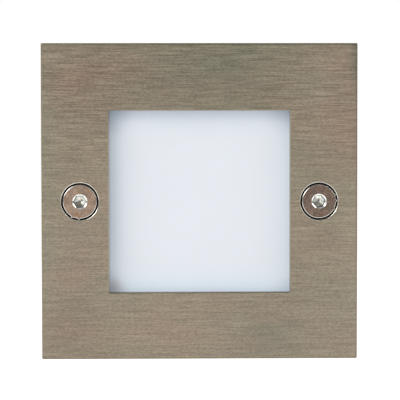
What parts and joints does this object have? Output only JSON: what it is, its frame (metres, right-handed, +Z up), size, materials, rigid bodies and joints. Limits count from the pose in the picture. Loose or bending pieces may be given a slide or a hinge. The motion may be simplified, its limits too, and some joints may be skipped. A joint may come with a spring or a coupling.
{
  "type": "recessed step light",
  "caption": "Square recessed step light: brushed steel face plate with a square window over a frosted diffuser, socket-head face screws, and a lamp unit in a wall box.",
  "frame": {"origin": "centre of the wall cut-out, on the wall's surface, where the wall gasket rests", "axes": "+X to the right as seen from the room, +Y into the wall, +Z up; the face plate looks along -Y"},
  "size_m": [0.08, 0.0685, 0.08],
  "materials": {
    "brushed_stainless": "fine horizontal brush",
    "screw_stainless": "smooth turned face, polished socket",
    "foam_rubber": "matt closed-cell foam",
    "seal_rubber": "satin",
    "silicone": "satin translucent grey",
    "opal_acrylic": "frosted opal",
    "cast_aluminium": "as cast, satin",
    "white_plastic": "satin white",
    "white_board": "white solder mask",
    "thermal_silicone": "soft blue pad",
    "led_phosphor": "clear silicone over phosphor",
    "chip_black": "moulded black",
    "zinc_steel": "bright zinc plate",
    "green_board": "green solder mask",
    "capacitor_sleeve": "shrink sleeve",
    "ferrite": "sintered ferrite",
    "fuse_plastic": "moulded brown",
    "terminal_plastic": "moulded green",
    "terminal_brass": "bright",
    "black_wire": "insulation",
    "red_wire": "insulation",
    "black_nylon": "fine moulded grain",
    "box_plastic": "moulded dark grey",
    "insert_brass": "knurled, bright"
  },
  "bodies": {
    "wall_box": {"wall_box": "box_plastic", "left_insert": "insert_brass", "right_insert": "insert_brass", "cable_grommet": "seal_rubber"},
    "lamp_unit": {"lamp_body": "cast_aluminium", "diffuser": "opal_acrylic", "diffuser_gasket": "silicone", "reflector": "white_plastic", "led_board": "white_board", "thermal_pad": "thermal_silicone", "leds": "led_phosphor", "led_board_resistors": "chip_black", "led_board_screws": "zinc_steel", "driver_board": "green_board", "driver_board_screws": "zinc_steel", "smoothing_capacitor": "capacitor_sleeve", "choke": "ferrite", "bridge_rectifier": "chip_black", "driver_chip": "chip_black", "input_fuse": "fuse_plastic", "driver_resistors": "chip_black", "terminal_block": "terminal_plastic", "terminal_clamps": "terminal_brass", "terminal_screws": "zinc_steel", "led_lead_negative": "black_wire", "led_lead_positive": "red_wire", "rear_cover_seal": "silicone", "rear_cover": "cast_aluminium", "rear_cover_screws": "zinc_steel", "gland_body": "black_nylon", "gland_locknut": "black_nylon", "gland_seal": "seal_rubber"},
    "face_plate": {"face_plate": "brushed_stainless", "wall_gasket": "foam_rubber"},
    "left_washer": {"left_sealing_washer": "seal_rubber"},
    "left_screw": {"left_face_screw": "screw_stainless"},
    "right_washer": {"right_sealing_washer": "seal_rubber"},
    "right_screw": {"right_face_screw": "screw_stainless"},
    "gland_ring": {"gland_pressure_ring": "black_nylon"},
    "gland_nut": {"gland_cap": "black_nylon"}
  },
  "joints": [
    {"name": "lamp_unit_out", "type": "slide", "parent": "wall_box", "child": "lamp_unit", "axis": [0, -1, 0], "range_m": [0, 0.06]},
    {"name": "face_plate_off", "type": "slide", "parent": "lamp_unit", "child": "face_plate", "axis": [0, -1, 0], "range_m": [0, 0.025]},
    {"name": "left_screw_travel", "type": "slide", "parent": "face_plate", "child": "left_washer", "axis": [0, -1, 0], "range_m": [0, 0.0064]},
    {"name": "left_screw_turn", "type": "hinge", "parent": "left_washer", "child": "left_screw", "pos_m": [-0.0303, 0, 0], "axis": [0, -1, 0], "range_deg": [0, 2916]},
    {"name": "right_screw_travel", "type": "slide", "parent": "face_plate", "child": "right_washer", "axis": [0, -1, 0], "range_m": [0, 0.0064]},
    {"name": "right_screw_turn", "type": "hinge", "parent": "right_washer", "child": "right_screw", "pos_m": [0.0303, 0, 0], "axis": [0, -1, 0], "range_deg": [0, 2916]},
    {"name": "gland_nut_travel", "type": "slide", "parent": "lamp_unit", "child": "gland_ring", "axis": [0, 1, 0], "range_m": [0, 0.0045]},
    {"name": "gland_nut_turn", "type": "hinge", "parent": "gland_ring", "child": "gland_nut", "pos_m": [0, 0.045, 0], "axis": [0, 1, 0], "range_deg": [0, 1110]}
  ],
  "couplings": [
    {"joint": "left_screw_turn", "follows": "left_screw_travel", "rad_per_m": 7854},
    {"joint": "right_screw_turn", "follows": "right_screw_travel", "rad_per_m": 7854},
    {"joint": "gland_nut_turn", "follows": "gland_nut_travel", "rad_per_m": 4188.8}
  ]
}
